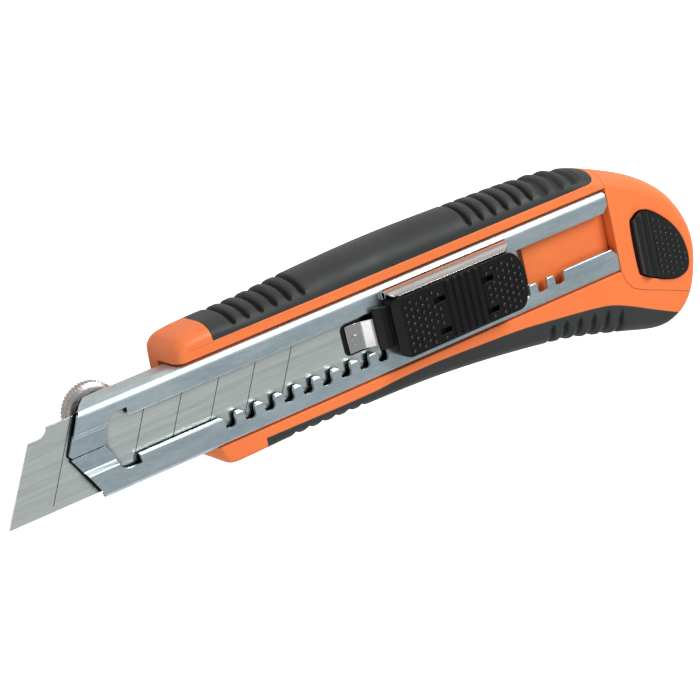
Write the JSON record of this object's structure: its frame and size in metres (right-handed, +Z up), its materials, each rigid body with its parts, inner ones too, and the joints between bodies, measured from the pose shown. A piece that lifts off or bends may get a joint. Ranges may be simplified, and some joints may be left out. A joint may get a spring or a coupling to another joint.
{
  "type": "snap-off utility knife",
  "caption": "Snap-off utility knife with a notched steel blade channel, sliding blade with score lines, thumb slider, clamp wheel, grooved rubber grips and a latched rear end cap.",
  "frame": {"origin": "centre of the bounding box on the plane that the handle's flat back rests on, with the blade one segment out of the channel and more", "axes": "+X towards the blade's tip, +Y towards the cutting edge, +Z up out of the slider's face"},
  "size_m": [0.189, 0.0474, 0.0209],
  "materials": {
    "orange_plastic": "smooth moulded ABS with a soft sheen",
    "grip_rubber": "matt soft-touch rubber",
    "black_plastic": "fine-grained black plastic",
    "plated_steel": "zinc-plated sheet with a long brush grain and bright bends",
    "blade_steel": "ground carbon steel with a long brush grain",
    "bright_steel": "bright plated steel",
    "knurled_steel": "plated steel with a knurled rim"
  },
  "bodies": {
    "handle": {"handle_body": "orange_plastic", "spine_grip": "grip_rubber", "belly_grip": "grip_rubber", "blade_channel": "plated_steel", "channel_rivets": "bright_steel", "front_guide": "black_plastic", "magazine_tray": "orange_plastic", "magazine_deck": "orange_plastic", "spare_blade_1": "blade_steel", "spare_blade_2": "blade_steel", "spare_blade_3": "blade_steel", "follower_plate": "bright_steel", "follower_spring": "bright_steel", "clamp_boss": "bright_steel"},
    "slider": {"working_blade": "blade_steel", "slider_carrier": "black_plastic", "slider_clip": "bright_steel", "blade_stud": "bright_steel", "detent_spring": "bright_steel", "thumb_pad": "black_plastic"},
    "shoe": {"clamp_shoe": "bright_steel"},
    "screw": {"clamp_wheel": "knurled_steel", "clamp_stud": "knurled_steel"},
    "cap": {"end_cap": "orange_plastic", "latch_arm": "black_plastic", "button_spring": "bright_steel"},
    "button": {"cap_button": "black_plastic"}
  },
  "joints": [
    {"name": "blade_slide", "type": "slide", "parent": "handle", "child": "slider", "axis": [1, 0, 0], "range_m": [-0.028, 0.058], "deforming": ["detent_spring"]},
    {"name": "clamp_lift", "type": "slide", "parent": "handle", "child": "shoe", "axis": [0, 0, 1], "range_m": [0, 0.000525]},
    {"name": "clamp_turn", "type": "hinge", "parent": "shoe", "child": "screw", "pos_m": [0.0653, -0.00905, 0], "axis": [0, 0, 1], "range_deg": [0, 272]},
    {"name": "cap_pull", "type": "slide", "parent": "handle", "child": "cap", "axis": [-1, 0, 0], "range_m": [0, 0.025]},
    {"name": "button_press", "type": "slide", "parent": "cap", "child": "button", "axis": [0, 0, -1], "range_m": [0, 0.0012], "stiffness_N_per_m": 600, "deforming": ["button_spring", "latch_arm"]}
  ],
  "couplings": [
    {"joint": "clamp_turn", "follows": "clamp_lift", "rad_per_m": 8976}
  ]
}
